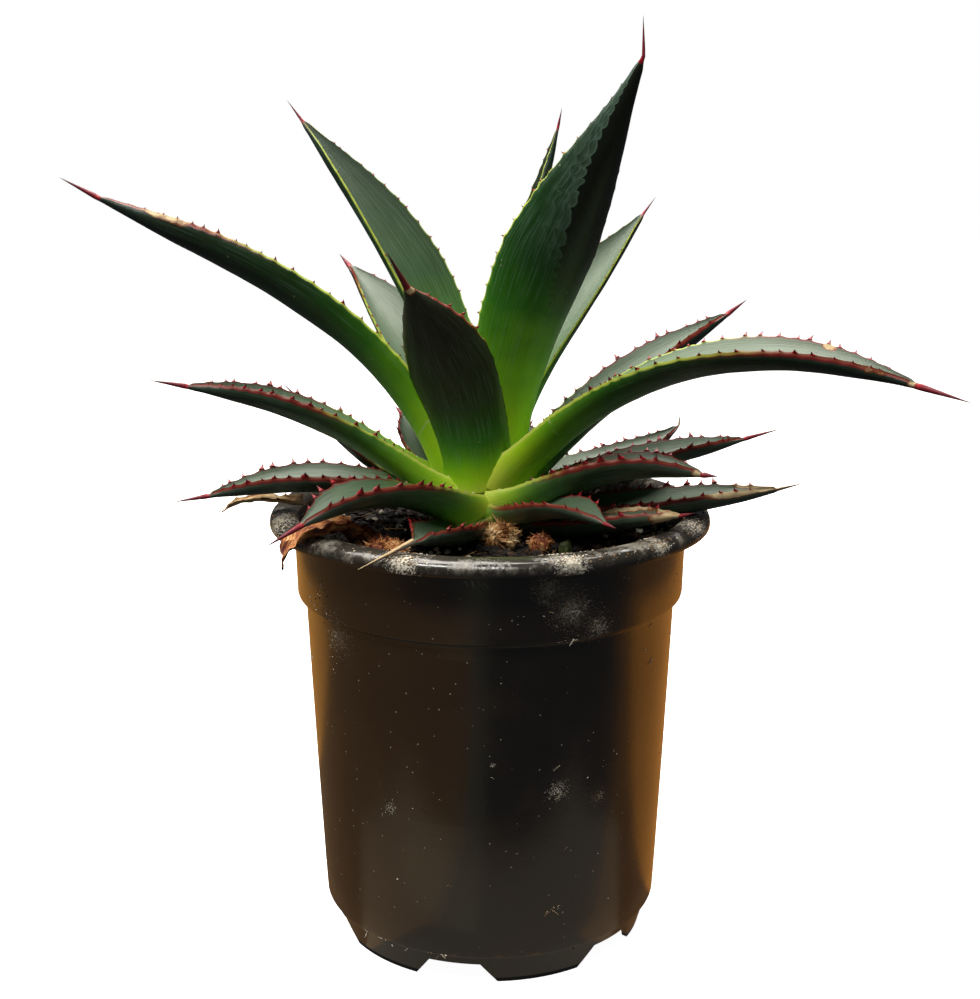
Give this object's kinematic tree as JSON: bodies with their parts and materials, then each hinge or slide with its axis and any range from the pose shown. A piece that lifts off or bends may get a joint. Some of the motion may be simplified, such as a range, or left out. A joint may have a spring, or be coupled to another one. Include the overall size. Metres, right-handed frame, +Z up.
{
  "type": "potted agave",
  "caption": "Young rosette agave with arching toothed leaves, growing in a round black plastic nursery pot with a rolled lip and a notched foot.",
  "frame": {"origin": "centre of the pot's foot, on the surface it stands on", "axes": "+Z up along the pot's axis; -Y towards the side with the small dry-tipped leaf over the rim; +X towards the long arching leaf, along the plant's widest spread"},
  "size_m": [0.3027, 0.1688, 0.337],
  "materials": {
    "pot_plastic": "satin black, dusty",
    "potting_mix": "coarse and damp",
    "stem_skin": "matt",
    "agave_leaf": "satin, with a waxy bloom",
    "dry_leaf": "matt, papery",
    "leaf_scrap": "matt",
    "bark": "matt, fibrous"
  },
  "bodies": {
    "root": {"pot": "pot_plastic", "potting_mix": "potting_mix", "stem_and_roots": "stem_skin", "leaf_tall_right": "agave_leaf", "leaf_upper_left": "agave_leaf", "leaf_back_right_upper": "agave_leaf", "leaf_facing": "agave_leaf", "leaf_long_left": "agave_leaf", "leaf_back_left_upper": "agave_leaf", "leaf_long_right": "agave_leaf", "leaf_back_upper": "agave_leaf", "leaf_right_behind": "agave_leaf", "leaf_mid_left": "agave_leaf", "leaf_back_right_lower": "agave_leaf", "leaf_right_far": "agave_leaf", "leaf_low_left": "agave_leaf", "leaf_front_left": "agave_leaf", "leaf_right_low": "agave_leaf", "leaf_low_right": "agave_leaf", "leaf_heart": "agave_leaf", "leaf_back_mid": "agave_leaf", "leaf_left_behind": "agave_leaf", "leaf_back_left_lower": "agave_leaf", "leaf_back_low": "agave_leaf", "leaf_front_right": "agave_leaf", "leaf_right_lowest": "agave_leaf", "leaf_front_lowest": "agave_leaf", "dead_leaf_over_rim": "dry_leaf", "dry_leaf_strip": "dry_leaf", "fibrous_leaf_base": "dry_leaf", "green_leaf_scrap": "leaf_scrap", "bark_chip_front_left": "bark", "bark_chip_front": "bark", "bark_chip_back_left": "bark", "dry_twig": "bark"}
  },
  "joints": []
}
